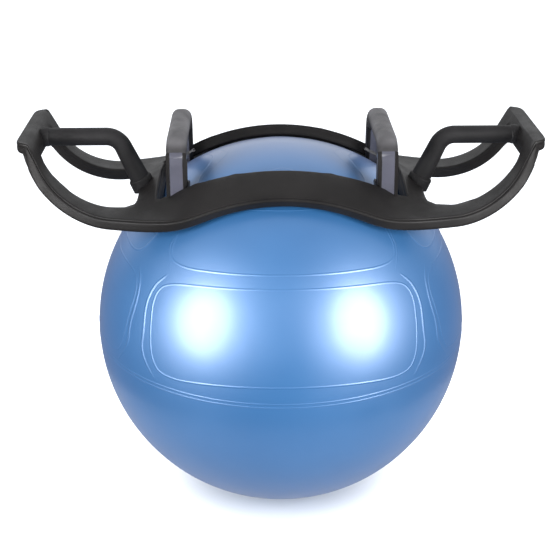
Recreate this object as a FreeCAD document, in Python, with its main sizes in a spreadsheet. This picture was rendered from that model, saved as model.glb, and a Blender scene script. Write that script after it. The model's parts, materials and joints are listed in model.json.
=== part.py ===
import FreeCAD, Part
import math
import os

# Exercise ball with a saddle-shaped handle ring resting on its crown.
# X runs along the ring's length, Y from front to back, Z up.
# Heights in the functions below are measured from the ball's centre; every piece is then
# placed so that the flat patch under the ball lies at Z = 0.

Vector = FreeCAD.Vector
Placement = FreeCAD.Placement
Rotation = FreeCAD.Rotation

SIZES = {
    # ball
    "ball_radius": 275.0,
    "ball_wall": 2.0,
    "contact_radius": 48.0,
    "valve_below": 35.0,            # degrees that the valve sits below the equator, at the back
    "valve_bore": 3.5,
    "valve_neck": 6.0,
    "valve_flange": 13.0,
    "valve_depth": 16.0,
    "plug_clearance": 0.25,
    "plug_head": 7.0,
    # surface of the ring
    "ring_rise": 19.25,             # top of the ring above the ball
    "ring_depth": 17.0,
    "shell_depth": 6.0,
    "ball_clearance": 1.0,
    "wing_drop": 84.25,             # flat of the wings below the crown of the ring
    "wing_start": 235.0,            # where a wing begins to rise
    "wing_bend": 105.0,
    "wing_slope": 65.0,             # degrees
    "wing_rise": 95.0,              # crest of the end bar above the flat of the wing
    "valley_blend": 8.0,
    "tip_overrun": 6.0,             # the wings run on past the crest and are then cut level
    # outline of the ring
    "bridge_half": 160.0,
    "corner_x": 118.0,
    "corner_ease": 0.5,
    "shoulder_run": 47.0,           # corner to the start of the waist, along X
    "shoulder_drop": 9.0,
    "waist_x": 248.0,
    "waist_half": 127.0,
    "tip_half": 90.0,
    "rim_step": 2.5,
    "foot_height": 16.0,
    "foot_reach": 7.0,
    "foot_round": 3.0,
    # openings
    "opening_half_x": 176.0,
    "opening_half_mid": 113.0,
    "opening_half_end": 90.0,
    "hub_width": 29.0,
    "loop_hub_half": 86.0,
    "loop_tip_half": 63.0,
    "loop_corner": 6.0,
    "loop_tip_gap": 15.0,           # loop opening's end to the end of the wing, along X
    "corner_round": 8.0,
    # upright arch handles
    "arch_x": 145.3,
    "arch_width": 28.5,
    "arch_depth": 27.0,
    "arch_half": 102.0,             # outside of the legs at the ring
    "arch_top": 17.5,               # top of the arch above the crown of the ring
    "arch_bend": 31.0,              # centre-line radius of the arch's corners
    "arch_lean": 6.0,               # degrees that the legs lean inwards
    "arch_round": 9.0,
    "leg_chamfer": 4.0,
    "leg_height": 21.0,             # end of the legs below the top of the arch
    "core_radius": 8.0,
    "core_wall": 1.5,
    "core_clearance": 0.3,
    "plate_depth": 4.0,
    "plate_inner": 76.0,
    "plate_outer": 128.0,
    "plate_margin": 1.0,            # plate to the sides of its leg
    "leg_clearance": 0.1,
    # horizontal side handles
    "bar_height": 78.0,             # centre of the bar above the flat of the wing
    "bar_radius": 12.75,
    "bar_corner_x": 233.5,
    "bar_bend": 26.0,
    "bar_slope": 65.5,
    "leg_flare": 14.6,
    "collar_radius": 17.0,
    "collar_length": 11.0,
    "core_bite": 12.0,
    "grip_bite": 6.0,               # before the grip is trimmed to the surface it meets
    # pads and screws
    "pad_x": 88.0,
    "pad_length": 52.0,
    "pad_width": 26.0,
    "pad_y": 136.0,
    "pad_seat": 3.5,
    "pad_gap": 0.3,
    "screw_radius": 2.0,
    "screw_head": 4.4,
    "screw_head_depth": 2.6,
    "screw_clearance": 0.2,
    "screw_bite": 3.5,
    "screw_sink": 1.5,              # head below the surface that it is driven from
    "screw_mouth": 6.0,
    "core_screw_grip": 10.0,        # length of a side handle's screw inside its core
    "core_screw_sink": 4.0,
    "hub_screw_inset": 9.0,         # from the central opening's end
    "hub_screw_y": 115.0,
    "loop_screw_inset": 19.0,       # from the outline
    "bridge_screw_x": 36.0,
    "plate_screw_inset": 9.0,       # from the plate's outer end
    "plate_screw_x": 7.5,           # from the middle of the plate
}

doc = FreeCAD.newDocument("ball_and_handle_ring")
sheet = doc.addObject("Spreadsheet::Sheet", "Sizes")
for row, (alias, value) in enumerate(SIZES.items(), start=1):
    sheet.set("A%d" % row, alias)
    sheet.set("B%d" % row, str(value))
    sheet.setAlias("B%d" % row, alias)
doc.recompute()


def size(alias):
    return float(sheet.get(alias))


BALL = size("ball_radius")
CENTRE_HEIGHT = math.sqrt(BALL ** 2 - size("contact_radius") ** 2)
CROWN = BALL + size("ring_rise")
WING = CROWN - size("wing_drop")
CREST = WING + size("wing_rise")
SLOPE = math.radians(size("wing_slope"))
BEND_END = size("wing_start") + size("wing_bend") * math.sin(SLOPE)
BEND_RISE = size("wing_bend") * (1 - math.cos(SLOPE))
CREST_X = BEND_END + (size("wing_rise") - BEND_RISE) / math.tan(SLOPE)
TIP_X = CREST_X + size("tip_overrun")
SHOULDER_X = size("corner_x") + size("shoulder_run")
LIFT = Placement(Vector(0, 0, CENTRE_HEIGHT), Rotation())
SIDES = (("left", -1), ("right", 1))
ENDS = (("front", -1), ("rear", 1))
FAR = 3 * BALL
parts = {}


def keep(name, obj, place=LIFT):
    """Names a sub-part, puts it in its place and lists it for export."""
    obj.Label = name
    obj.Placement = place
    parts[name] = obj
    return obj


def feature(name, shape):
    obj = doc.addObject("Part::Feature", name)
    obj.Shape = shape
    return keep(name, obj)


# ---------------------------------------------------------------- surface of the ring

def wing_height(x):
    """Level flat, then an arc, then a straight slope up to the end bar."""
    run = abs(x) - size("wing_start")
    if run <= 0:
        return WING
    if abs(x) <= BEND_END:
        return WING + size("wing_bend") - math.sqrt(size("wing_bend") ** 2 - run ** 2)
    return WING + BEND_RISE + (abs(x) - BEND_END) * math.tan(SLOPE)


def crown_height(x, y):
    """A saddle arched over the ball both ways."""
    along = min(abs(x), 0.91 * BALL)
    drop_x = BALL - math.sqrt(BALL ** 2 - along ** 2)
    drop_y = CROWN - math.sqrt(CROWN ** 2 - y ** 2)
    return CROWN - drop_x - drop_y


def top_height(x, y):
    """The higher of crown and wing, with the valley between them rounded."""
    crown = crown_height(x, y)
    wing = wing_height(x)
    return (crown + wing) / 2 + math.hypot((crown - wing) / 2, size("valley_blend"))


def top_normal(x, y):
    step = 0.5
    slope_x = (top_height(x + step, y) - top_height(x - step, y)) / (2 * step)
    slope_y = (top_height(x, y + step) - top_height(x, y - step)) / (2 * step)
    return Vector(-slope_x, -slope_y, 1).normalize()


def surface_point(x, y, depth=0.0):
    return Vector(x, y, top_height(x, y)) - top_normal(x, y) * depth


def make_top_face():
    margin = size("ring_depth")
    half_x = TIP_X + margin
    half_y = size("bridge_half") + margin
    count_x = 78
    count_y = 18
    grid = []
    for i in range(count_x + 1):
        x = half_x * (2.0 * i / count_x - 1)
        rows = [half_y * (2.0 * j / count_y - 1) for j in range(count_y + 1)]
        grid.append([Vector(x, y, top_height(x, y)) for y in rows])
    surface = Part.BSplineSurface()
    surface.interpolate(grid)
    return surface.toShape()


TOP_FACE = make_top_face()


def layer(plan, upper, lower):
    """The slice of the ring under a plan outline, between two depths below its top surface."""
    columns = plan.extrude(Vector(0, 0, FAR))
    trimmed = TOP_FACE.common(columns)
    cuts = (-FAR, -hub_middle(), 0.0, hub_middle(), FAR)
    faces = []
    for low, high in zip(cuts, cuts[1:]):
        for start in (-FAR, 0.0):
            box = Part.makeBox(high - low, FAR, 2 * FAR, Vector(low, start, -FAR))
            faces.extend(trimmed.common(box).Faces)
    skin = Part.makeCompound(faces)
    skin.sewShape()
    skin = skin.Shells[0] if skin.Shells else skin.Faces[0]
    if upper > 0:
        skin = skin.makeOffsetShape(-upper, 0.01)
    solid = skin.makeOffsetShape(-(lower - upper), 0.01, fill=True)
    return solid.Solids[0] if solid.Solids else solid


# ---------------------------------------------------------------- outlines seen from above

def hub_end():
    return size("opening_half_x") + size("hub_width")


def hub_middle():
    return size("opening_half_x") + size("hub_width") / 2


def curve(points):
    line = Part.BSplineCurve()
    line.interpolate([Vector(x, y, 0) for x, y in points])
    return line.toShape()


def straight(start, end):
    return Part.makeLine(Vector(start[0], start[1], 0), Vector(end[0], end[1], 0))


def outline_half(x, step):
    """Half-width of the ring at x beyond the corners: a shallow arc through waist and tip."""
    first = (SHOULDER_X, size("bridge_half") - size("shoulder_drop"))
    middle = (size("waist_x"), size("waist_half"))
    last = (TIP_X, size("tip_half"))
    value = 0.0
    trio = (first, middle, last)
    for i, (xi, yi) in enumerate(trio):
        weight = 1.0
        for j, (xj, _) in enumerate(trio):
            if i != j:
                weight *= (x - xj) / (xi - xj)
        value += weight * yi
    return value + step


def ring_outline(step):
    """Outer outline, stepped outwards by the rim where asked."""
    side = [(size("corner_x") / 2, size("bridge_half") + step),
            (size("corner_x"), size("bridge_half") - size("corner_ease") + step)]
    beyond = [SHOULDER_X + (TIP_X + step - SHOULDER_X) * i / 5 for i in range(6)]
    side += [(x, outline_half(x, step)) for x in beyond]
    back = [(-x, y) for x, y in side[::-1]] + [(0.0, size("bridge_half") + step)] + side
    front = [(x, -y) for x, y in back]
    edges = [curve(back), straight(back[-1], front[-1]), curve(front), straight(front[0], back[0])]
    return Part.Face(Part.Wire(edges))


def opening_outline():
    """Central opening over the crown of the ball, rounded at its four corners."""
    x = size("opening_half_x")
    end = size("opening_half_end")
    mid = size("opening_half_mid")
    back = Part.Arc(Vector(-x, end, 0), Vector(0, mid, 0), Vector(x, end, 0)).toShape()
    front = Part.Arc(Vector(x, -end, 0), Vector(0, -mid, 0), Vector(-x, -end, 0)).toShape()
    sides = [straight((x, end), (x, -end)), straight((-x, -end), (-x, end))]
    return rounded(Part.Wire([back, sides[0], front, sides[1]]), size("corner_round"))


def rounded(wire, radius):
    """Rounds the upright edges of a short column on the outline and returns its foot."""
    column = Part.Face(wire).extrude(Vector(0, 0, radius))
    upright = [e for e in column.Edges if abs(e.tangentAt(e.FirstParameter).z) > 0.9]
    column = column.makeFillet(radius, upright)
    return [f for f in column.Faces if f.BoundBox.ZMax < 0.01][0]


def loop_outline(side):
    """Opening of one end loop, from the hub to the end bar."""
    start = hub_end()
    stop = TIP_X - size("loop_tip_gap")
    hub = size("loop_hub_half")
    tip = size("loop_tip_half")
    span = stop - start
    taper = hub - tip
    bulge = [(start + size("loop_corner"), hub), (start + 0.33 * span, hub - 0.2 * taper),
             (start + 0.66 * span, hub - 0.65 * taper), (stop, tip)]
    back = [(side * x, y) for x, y in bulge]
    front = [(side * x, -y) for x, y in bulge]
    edges = [curve(back), straight(back[-1], front[-1]), curve(front),
             straight(front[0], (side * start, -tip)),
             straight((side * start, -tip), (side * start, tip)),
             straight((side * start, tip), back[0])]
    return rounded(Part.Wire(Part.sortEdges(edges)[0]), size("corner_round"))


def ring_plan(step):
    holes = [opening_outline(), loop_outline(-1), loop_outline(1)]
    plan = ring_outline(step).cut(holes)
    return plan.Faces[0]


def rectangle(x, y, half_x, half_y):
    corner = Vector(x - half_x, y - half_y, 0)
    return Part.makePlane(2 * half_x, 2 * half_y, corner)


# ---------------------------------------------------------------- handle paths

def bent_path(points, radius):
    """Straight runs joined by tangent arcs of one radius."""
    edges = []
    here = points[0]
    for before, corner, after in zip(points, points[1:], points[2:]):
        to_before = (before - corner).normalize()
        to_after = (after - corner).normalize()
        half = to_before.getAngle(to_after) / 2
        start = corner + to_before * (radius / math.tan(half))
        end = corner + to_after * (radius / math.tan(half))
        centre = corner + (to_before + to_after).normalize() * (radius / math.sin(half))
        middle = centre + (corner - centre).normalize() * radius
        edges.append(Part.makeLine(here, start))
        edges.append(Part.Arc(start, middle, end).toShape())
        here = end
    edges.append(Part.makeLine(here, points[-1]))
    return Part.Wire(edges)


def sweep(path, section):
    solid = path.makePipeShell([section], True, False)
    if solid.Volume < 0:
        solid.reverse()
    return solid


def circle_at(path, radius):
    edge = path.Edges[0]
    return Part.Wire([Part.makeCircle(radius, edge.valueAt(edge.FirstParameter),
                                      edge.tangentAt(edge.FirstParameter))])


ARCH_TOP = CROWN + size("arch_top")
ARCH_AXIS_TOP = ARCH_TOP - size("arch_depth") / 2
LEAN = math.tan(math.radians(size("arch_lean")))
ARCH_RING = top_height(size("arch_x"), size("arch_half"))
LEG_TOP = ARCH_TOP - size("leg_height")
LEG_BOTTOM = ARCH_RING - 2 * size("ring_depth")


def arch_axis_y(z):
    """Distance of a leg's centre line from the middle of the arch, at height z."""
    return size("arch_half") - size("arch_depth") / 2 - (z - ARCH_RING) * LEAN


def arch_path(x, bottom):
    points = [Vector(x, -arch_axis_y(bottom), bottom),
              Vector(x, -arch_axis_y(ARCH_AXIS_TOP), ARCH_AXIS_TOP),
              Vector(x, arch_axis_y(ARCH_AXIS_TOP), ARCH_AXIS_TOP),
              Vector(x, arch_axis_y(bottom), bottom)]
    return bent_path(points, size("arch_bend"))


def rounded_section(path, width, depth, radius):
    """Rounded rectangle across the start of a path that lies in a plane of constant X."""
    edge = path.Edges[0]
    along = edge.tangentAt(edge.FirstParameter)
    start = edge.valueAt(edge.FirstParameter)
    across = Vector(1, 0, 0)
    inward = along.cross(across)
    half_w = width / 2
    half_d = depth / 2
    cut = radius * (1 - math.sqrt(0.5))

    def at(u, v):
        return start + across * u + inward * v

    edges = []
    for u, v in ((1, 1), (-1, 1), (-1, -1), (1, -1)):
        turn = u * v
        flat_end = at(u * half_w, v * (half_d - radius))
        flat_start = at(u * (half_w - radius), v * half_d)
        middle = at(u * (half_w - cut), v * (half_d - cut))
        ends = (flat_end, flat_start) if turn > 0 else (flat_start, flat_end)
        edges.append(Part.Arc(ends[0], middle, ends[1]).toShape())
    joined = []
    for arc, following in zip(edges, edges[1:] + edges[:1]):
        joined.append(arc)
        joined.append(Part.makeLine(arc.Vertexes[-1].Point, following.Vertexes[0].Point))
    return Part.Wire(joined)


BAR_HEIGHT = WING + size("bar_height")
BAR_SLOPE = math.radians(size("bar_slope"))
BAR_END = CREST_X - (CREST - BAR_HEIGHT) / math.tan(SLOPE)


def bar_foot(depth):
    """Where the sloping leg's centre line reaches a depth under the hub."""
    x = size("bar_corner_x")
    z = BAR_HEIGHT
    while z > top_height(x, 0) - depth:
        x -= 0.1 * math.cos(BAR_SLOPE)
        z -= 0.1 * math.sin(BAR_SLOPE)
    return Vector(x, 0, z)


def bar_path(side, outer, foot):
    points = [Vector(side * outer, 0, BAR_HEIGHT),
              Vector(side * size("bar_corner_x"), 0, BAR_HEIGHT),
              Vector(side * foot.x, 0, foot.z)]
    return bent_path(points, size("bar_bend"))


# ---------------------------------------------------------------- ball

def bound(kind, name, links):
    obj = doc.addObject(kind, name)
    for prop, expression in links.items():
        obj.setExpression(prop, expression)
    return obj


def sphere_above_flat(name, radius, height):
    """Sphere about the origin, cut level at a height below its centre."""
    latitude = "-asin((%s) / (%s))" % (height, radius)
    return bound("Part::Sphere", name, {"Radius": radius, "Angle1": latitude})


def make_ball():
    height = "sqrt(Sizes.ball_radius ^ 2 - Sizes.contact_radius ^ 2)"
    outside = sphere_above_flat("ball_outside", "Sizes.ball_radius", height)
    inside = sphere_above_flat("ball_inside", "Sizes.ball_radius - Sizes.ball_wall",
                               height + " - Sizes.ball_wall")
    hollow = doc.addObject("Part::Cut", "hollow_ball")
    hollow.Base = outside
    hollow.Tool = inside
    bore = bound("Part::Cylinder", "valve_hole", {
        "Radius": "Sizes.valve_neck", "Height": "Sizes.ball_radius"})
    bore.Placement = Placement(Vector(0, 0, 0), VALVE_TURN)
    shell = doc.addObject("Part::Cut", "ball_shell")
    shell.Base = hollow
    shell.Tool = bore
    keep("ball_shell", shell)


VALVE_TURN = Rotation(Vector(1, 0, 0), -90 - size("valve_below"))
VALVE_AXIS = VALVE_TURN.multVec(Vector(0, 0, 1))
VALVE_PLACE = Placement(Vector(0, 0, CENTRE_HEIGHT) + VALVE_AXIS * BALL, VALVE_TURN)


def turned_body(name, corners, place):
    """A body turned about its own Z axis from a profile of (radius, height) corners."""
    body = doc.addObject("PartDesign::Body", name)
    sketch = body.newObject("Sketcher::SketchObject", name + "_profile")
    plane = [f for f in body.Origin.OriginFeatures if f.Role == "XZ_Plane"][0]
    sketch.AttachmentSupport = (plane, "")
    sketch.MapMode = "FlatFace"
    for start, end in zip(corners, corners[1:] + corners[:1]):
        line = Part.LineSegment(Vector(start[0], start[1], 0), Vector(end[0], end[1], 0))
        sketch.addGeometry(line, False)
    turn = body.newObject("PartDesign::Revolution", name + "_turned")
    turn.Profile = sketch
    turn.ReferenceAxis = (sketch, ["V_Axis"])
    turn.Angle = 360
    body.Tip = turn
    keep(name, body, place)
    return body


def make_valve():
    bore = size("valve_bore")
    neck = size("valve_neck")
    flange = size("valve_flange")
    seat_top = -0.3
    under = -size("ball_wall") - 0.9
    deep = -size("valve_depth")
    turned_body("valve_seat", [(bore, seat_top), (neck, seat_top), (neck, under),
                               (flange, under), (flange, under - 2.0), (neck + 1.5, under - 3.5),
                               (neck - 1.0, deep), (bore, deep)], VALVE_PLACE)
    stem = bore - size("plug_clearance")
    head = size("plug_head")
    turned_body("valve_plug", [(0, seat_top - 11.0), (stem - 1.0, seat_top - 11.0),
                               (stem, seat_top - 8.0), (stem, 0.2), (head, 0.2), (head, 1.2),
                               (head - 1.0, 2.0), (0, 2.2)], VALVE_PLACE)


# ---------------------------------------------------------------- screws

def screw_shape(tip, outward, length, extra=0.0):
    """Countersunk screw from its tip to its head, or the hole for it with some extra room."""
    radius = size("screw_radius") + extra
    head = size("screw_head") + extra
    head_depth = size("screw_head_depth") + extra
    shank = Part.makeCylinder(radius, length, tip, outward)
    cone = Part.makeCone(radius, head, head_depth, tip + outward * (length - head_depth), outward)
    return shank.fuse(cone).removeSplitter()


def screw_and_hole(tip, outward, length):
    room = size("screw_clearance")
    hole = screw_shape(tip - outward * room, outward, length + room, room)
    mouth = Part.makeCylinder(size("screw_head") + room, size("screw_mouth"),
                              tip + outward * length, outward)
    return screw_shape(tip, outward, length), hole.fuse(mouth)


def ring_screw(x, y):
    """Screw driven up from the underside, square to the surface, into the top shell."""
    outward = top_normal(x, y) * -1
    tip = surface_point(x, y, size("screw_bite"))
    length = size("ring_depth") - size("screw_bite") - size("screw_sink")
    return screw_and_hole(tip, outward, length)


# ---------------------------------------------------------------- the ring and what it carries

def make_ring():
    depth = size("ring_depth")
    shell_depth = size("shell_depth")
    above_crest = Part.makeBox(2 * FAR, 2 * FAR, FAR, Vector(-FAR, -FAR, CREST))
    keep_clear = Part.makeSphere(BALL + size("ball_clearance"))

    top_shell = layer(ring_plan(0.0), 0.0, shell_depth)
    base = layer(ring_plan(size("rim_step")), shell_depth, depth)
    for side in (-1, 1):
        base = base.fuse(end_foot(side))

    seats = []
    holes = []
    side_screws = []
    for label, side in SIDES:
        seats += make_arch(label, side)
        seats.append(make_side_handle(label, side, side_screws, holes))
        for end_label, end in ENDS:
            seats.append(make_pad("ball_pad_%s_%s" % (end_label, label), side, end))

    loop_x = 0.5 * (hub_end() + CREST_X)
    spots = [(0.0, size("pad_y"))]
    for side in (-1, 1):
        spots.append((side * (size("opening_half_x") + size("hub_screw_inset")), size("hub_screw_y")))
        spots.append((side * loop_x, outline_half(loop_x, 0.0) - size("loop_screw_inset")))
        spots.append((side * size("bridge_screw_x"), size("pad_y")))
    ring_screws = group_of_screws([(x, y * end) for x, y in spots for end in (-1, 1)], holes)
    arch_spots = [spot for side in (-1, 1) for end in (-1, 1)
                  for spot in plate_screw_spots(side * size("arch_x"), end)]
    arch_screws = group_of_screws(arch_spots, holes)

    top_shell = cut_by(top_shell, seats + holes + [above_crest])
    base = cut_by(base, seats + holes + [above_crest, keep_clear])
    feature("ring_top_shell", largest(top_shell))
    feature("ring_base", largest(base))
    feature("ring_screws", ring_screws)
    feature("arch_screws", arch_screws)
    feature("side_screws", Part.makeCompound(side_screws))


def cut_by(shape, tools):
    """One tool after another, which is far quicker than all of them at once."""
    for tool in tools:
        shape = shape.cut(tool)
    return shape


def largest(shape):
    """The piece itself, without the offcuts that a cut leaves."""
    solid = max(shape.Solids, key=lambda piece: piece.Volume)
    offcuts = sum(piece.Volume for piece in shape.Solids) - solid.Volume
    if offcuts > 0.02 * solid.Volume:
        print("offcuts of %.0f mm3 beside %.0f mm3" % (offcuts, solid.Volume))
    return solid


def group_of_screws(spots, holes):
    solids = []
    for x, y in spots:
        solid, hole = ring_screw(x, y)
        solids.append(solid)
        holes.append(hole)
    return Part.makeCompound(solids)


def plate_screw_spots(x, end):
    y = end * (size("plate_outer") - size("plate_screw_inset"))
    return [(x - size("plate_screw_x"), y), (x + size("plate_screw_x"), y)]


def end_foot(side):
    """Ledge along the outside of an end bar: upright outer face with a level foot."""
    slide = size("foot_height") / math.tan(SLOPE)
    inner = CREST_X + 0.75 * size("ring_depth") / math.sin(SLOPE)
    outer = tip_face_x(CREST)
    low = CREST - size("foot_height")
    reach = outer - slide + size("foot_reach")
    bevel = size("foot_round")
    corners = [(inner, CREST), (outer, CREST), (reach, CREST - bevel), (reach, low),
               (outer - slide, low - bevel), (inner - slide, low - bevel)]
    half = outline_half(TIP_X, 0.0)
    points = [Vector(side * x, -half, z) for x, z in corners]
    face = Part.Face(Part.makePolygon(points + points[:1]))
    return face.extrude(Vector(0, 2 * half, 0))


def make_arch(label, side):
    """Upright handle: steel tube on two clamped plates, four-sided legs and a rounded grip."""
    x = side * size("arch_x")
    shell_depth = size("shell_depth")
    plate_depth = size("plate_depth")
    plate_mid = 0.5 * (size("plate_inner") + size("plate_outer"))
    plate_half = 0.5 * (size("plate_outer") - size("plate_inner"))
    plates = []
    for end in (-1, 1):
        plate_width = size("arch_width") - 2 * size("plate_margin")
        plan = rectangle(x, end * plate_mid, plate_width / 2, plate_half)
        plates.append(layer(plan, shell_depth, shell_depth + plate_depth))
    foot = min(surface_point(x, end * arch_axis_y(ARCH_RING), shell_depth).z for end in (-1, 1))
    tube_path = arch_path(x, foot - size("arch_depth"))
    radius = size("core_radius")
    tube = sweep(tube_path, circle_at(tube_path, radius))
    tube = tube.cut(sweep(tube_path, circle_at(tube_path, radius - size("core_wall"))))
    below = []
    for end in (-1, 1):
        plan = rectangle(x, end * arch_axis_y(ARCH_RING), size("arch_width"), size("arch_depth"))
        below.append(layer(plan, shell_depth, shell_depth + 2 * size("arch_depth")))
    tube = tube.cut(below)
    feature("arch_core_" + label, largest(tube))

    bore = sweep(tube_path, circle_at(tube_path, radius + size("core_clearance")))
    grip_path = arch_path(x, LEG_TOP - size("leg_chamfer"))
    section = rounded_section(grip_path, size("arch_width"), size("arch_depth"), size("arch_round"))
    under_grip = Part.makeBox(2 * FAR, 2 * FAR, FAR, Vector(-FAR, -FAR, LEG_TOP - FAR))
    grip = sweep(grip_path, section).cut([bore, under_grip])
    feature("arch_grip_" + label, largest(grip))

    holes = []
    for (end_label, end), plate, under in zip(ENDS, plates, below):
        leg = make_leg(x, end, bore, under)
        feature("arch_leg_%s_%s" % (end_label, label), leg)
        pair = [ring_screw(*spot)[1] for spot in plate_screw_spots(x, end)]
        feature("arch_plate_%s_%s" % (end_label, label), largest(plate.cut(pair)))
        holes.append(plate)
        holes.append(leg_notch(x, end))
    return holes


def leg_frame(x, end):
    start = Vector(x, end * arch_axis_y(LEG_BOTTOM), LEG_BOTTOM)
    finish = Vector(x, end * arch_axis_y(LEG_TOP), LEG_TOP)
    return start, finish


def leg_notch(x, end):
    """Room for a leg where it stands against the inner edge of the ring."""
    start, finish = leg_frame(x, end)
    half_w = 0.5 * size("arch_width") + size("leg_clearance")
    half_d = 0.5 * size("arch_depth") + size("leg_clearance")
    points = [Vector(x + u, start.y + v, start.z)
              for u, v in ((-half_w, -half_d), (half_w, -half_d), (half_w, half_d), (-half_w, half_d))]
    return Part.Face(Part.makePolygon(points + points[:1])).extrude(finish - start)


def make_leg(x, end, bore, under):
    """One leg: square with chamfered corners, leaning inwards, standing on its plate."""
    start, finish = leg_frame(x, end)
    half_w = 0.5 * size("arch_width")
    half_d = 0.5 * size("arch_depth")
    cut = size("leg_chamfer")
    corners = [(half_w - cut, half_d), (half_w, half_d - cut), (half_w, cut - half_d),
               (half_w - cut, -half_d), (cut - half_w, -half_d), (-half_w, cut - half_d),
               (-half_w, half_d - cut), (cut - half_w, half_d)]
    points = [Vector(x + u, start.y + v, start.z) for u, v in corners]
    leg = Part.Face(Part.makePolygon(points + points[:1])).extrude(finish - start)
    return largest(leg.cut([bore, under]))


def tip_face_x(z):
    """Where the underside of a wing's straight slope reaches height z."""
    return CREST_X + size("ring_depth") / math.sin(SLOPE) - (CREST - z) / math.tan(SLOPE)


def make_side_handle(label, side, side_screws, screw_holes):
    """Horizontal bar from the end bar to a sloping leg on the hub, round a solid core."""
    core_radius = size("core_radius")
    clear_radius = core_radius + size("core_clearance")
    tip = BAR_END + size("core_bite")
    deep = bar_foot(size("core_bite"))
    core_path = bar_path(side, tip, deep)
    core = sweep(core_path, circle_at(core_path, core_radius))
    grip_length = size("core_screw_grip")
    sink = size("screw_sink")
    outer_head = tip_face_x(BAR_HEIGHT) - size("core_screw_sink")
    leg = core_path.Edges[-1]
    slope = leg.tangentAt(leg.FirstParameter)
    hub_tip = leg.valueAt(leg.LastParameter) - slope * grip_length
    holes = []
    for screw_tip, outward, length in (
            (Vector(side * (tip - grip_length), 0, BAR_HEIGHT), Vector(side, 0, 0),
             outer_head - tip + grip_length),
            (hub_tip, slope, grip_length + size("ring_depth") - size("core_bite") - sink)):
        solid, hole = screw_and_hole(screw_tip, outward, length)
        side_screws.append(solid)
        holes.append(hole)
    core = core.cut(holes)
    feature("side_core_" + label, largest(core))

    room = size("core_clearance")
    clear_path = bar_path(side, tip + room, bar_foot(size("core_bite") + room))
    bore = sweep(clear_path, circle_at(clear_path, clear_radius))
    reach = 2.2 * size("leg_flare")
    slab_depth = 2 * size("arch_depth")
    slab = layer(rectangle(side * hub_middle(), 0, 2 * reach, 2 * reach), 0.0, slab_depth)
    end_slab = layer(rectangle(side * BAR_END, 0, reach, reach), 0.0, slab_depth)

    bite = size("grip_bite")
    path = bar_path(side, BAR_END + bite, bar_foot(bite))
    bar_radius = size("bar_radius")
    straight_and_bend = Part.Wire(path.Edges[:2])
    grip = sweep(straight_and_bend, circle_at(straight_and_bend, bar_radius))
    leg = path.Edges[2]
    start = leg.valueAt(leg.FirstParameter)
    flare = Part.makeCone(bar_radius, size("leg_flare"), leg.Length, start, slope)
    touch = bar_foot(0.0)
    touch = Vector(side * touch.x, 0, touch.z)
    collar_start = touch - slope * size("collar_length")
    collar_length = size("collar_length") + size("collar_radius")
    collar = Part.makeCylinder(size("collar_radius"), collar_length, collar_start, slope)
    grip = grip.fuse(flare).cut([bore, slab, end_slab, collar])
    feature("side_grip_" + label, largest(grip))
    collar = collar.cut([bore, slab])
    feature("side_collar_" + label, largest(collar))

    screw_holes += holes
    return bore


def make_pad(name, side, end):
    """Rubber pad let into the underside of a bridge, resting on the ball."""
    depth = size("ring_depth")
    plan = rectangle(side * size("pad_x"), end * size("pad_y"), 0.5 * size("pad_length"),
                     0.5 * size("pad_width"))
    block = layer(plan, depth - size("pad_seat"), 2 * depth)
    ball = Part.makeSphere(BALL + size("pad_gap"))
    feature(name, largest(block.cut(ball)))
    return block


make_ball()
make_valve()
make_ring()

doc.recompute()
for obj in doc.Objects:
    if {"Invalid", "Error"} & set(obj.State):
        raise RuntimeError("%s failed to recompute: %s" % (obj.Label, obj.State))
os.makedirs("parts", exist_ok=True)
for name, obj in parts.items():
    if obj.Shape.isNull() or not obj.Shape.isValid():
        raise RuntimeError("%s has no valid shape" % name)
    print("%-24s solids %2d  volume %10.0f" % (name, len(obj.Shape.Solids), obj.Shape.Volume))
    obj.Shape.exportStep("parts/%s.step" % name)
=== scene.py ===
import json
import math

import bpy
import numpy as np
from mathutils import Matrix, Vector
from mathutils.geometry import delaunay_2d_cdt


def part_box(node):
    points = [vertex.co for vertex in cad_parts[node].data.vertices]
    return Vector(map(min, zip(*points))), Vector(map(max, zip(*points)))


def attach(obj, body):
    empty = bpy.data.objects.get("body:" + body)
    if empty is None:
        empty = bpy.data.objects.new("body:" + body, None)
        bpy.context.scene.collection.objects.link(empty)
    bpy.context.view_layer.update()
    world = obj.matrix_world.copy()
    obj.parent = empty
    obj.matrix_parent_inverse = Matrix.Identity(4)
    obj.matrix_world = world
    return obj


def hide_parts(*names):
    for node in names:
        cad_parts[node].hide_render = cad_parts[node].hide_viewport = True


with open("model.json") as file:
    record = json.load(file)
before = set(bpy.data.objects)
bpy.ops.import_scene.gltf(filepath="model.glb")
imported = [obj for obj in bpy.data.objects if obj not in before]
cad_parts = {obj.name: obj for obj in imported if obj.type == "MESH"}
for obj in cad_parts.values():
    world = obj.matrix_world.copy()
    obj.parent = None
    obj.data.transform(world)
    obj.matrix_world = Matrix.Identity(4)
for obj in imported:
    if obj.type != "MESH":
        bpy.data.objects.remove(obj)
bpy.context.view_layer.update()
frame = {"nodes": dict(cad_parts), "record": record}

MM = 0.001

# Ball, from its packed box: it stands on a flat patch, so its centre is a radius below its top.
ball_low, ball_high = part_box("ball_shell")
BALL = (ball_high.y - ball_low.y) / 2 / MM
CENTRE = Vector((0.0, 0.0, ball_high.z - BALL * MM))
PATCH = math.sqrt(BALL ** 2 - (CENTRE.z / MM) ** 2)

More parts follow.
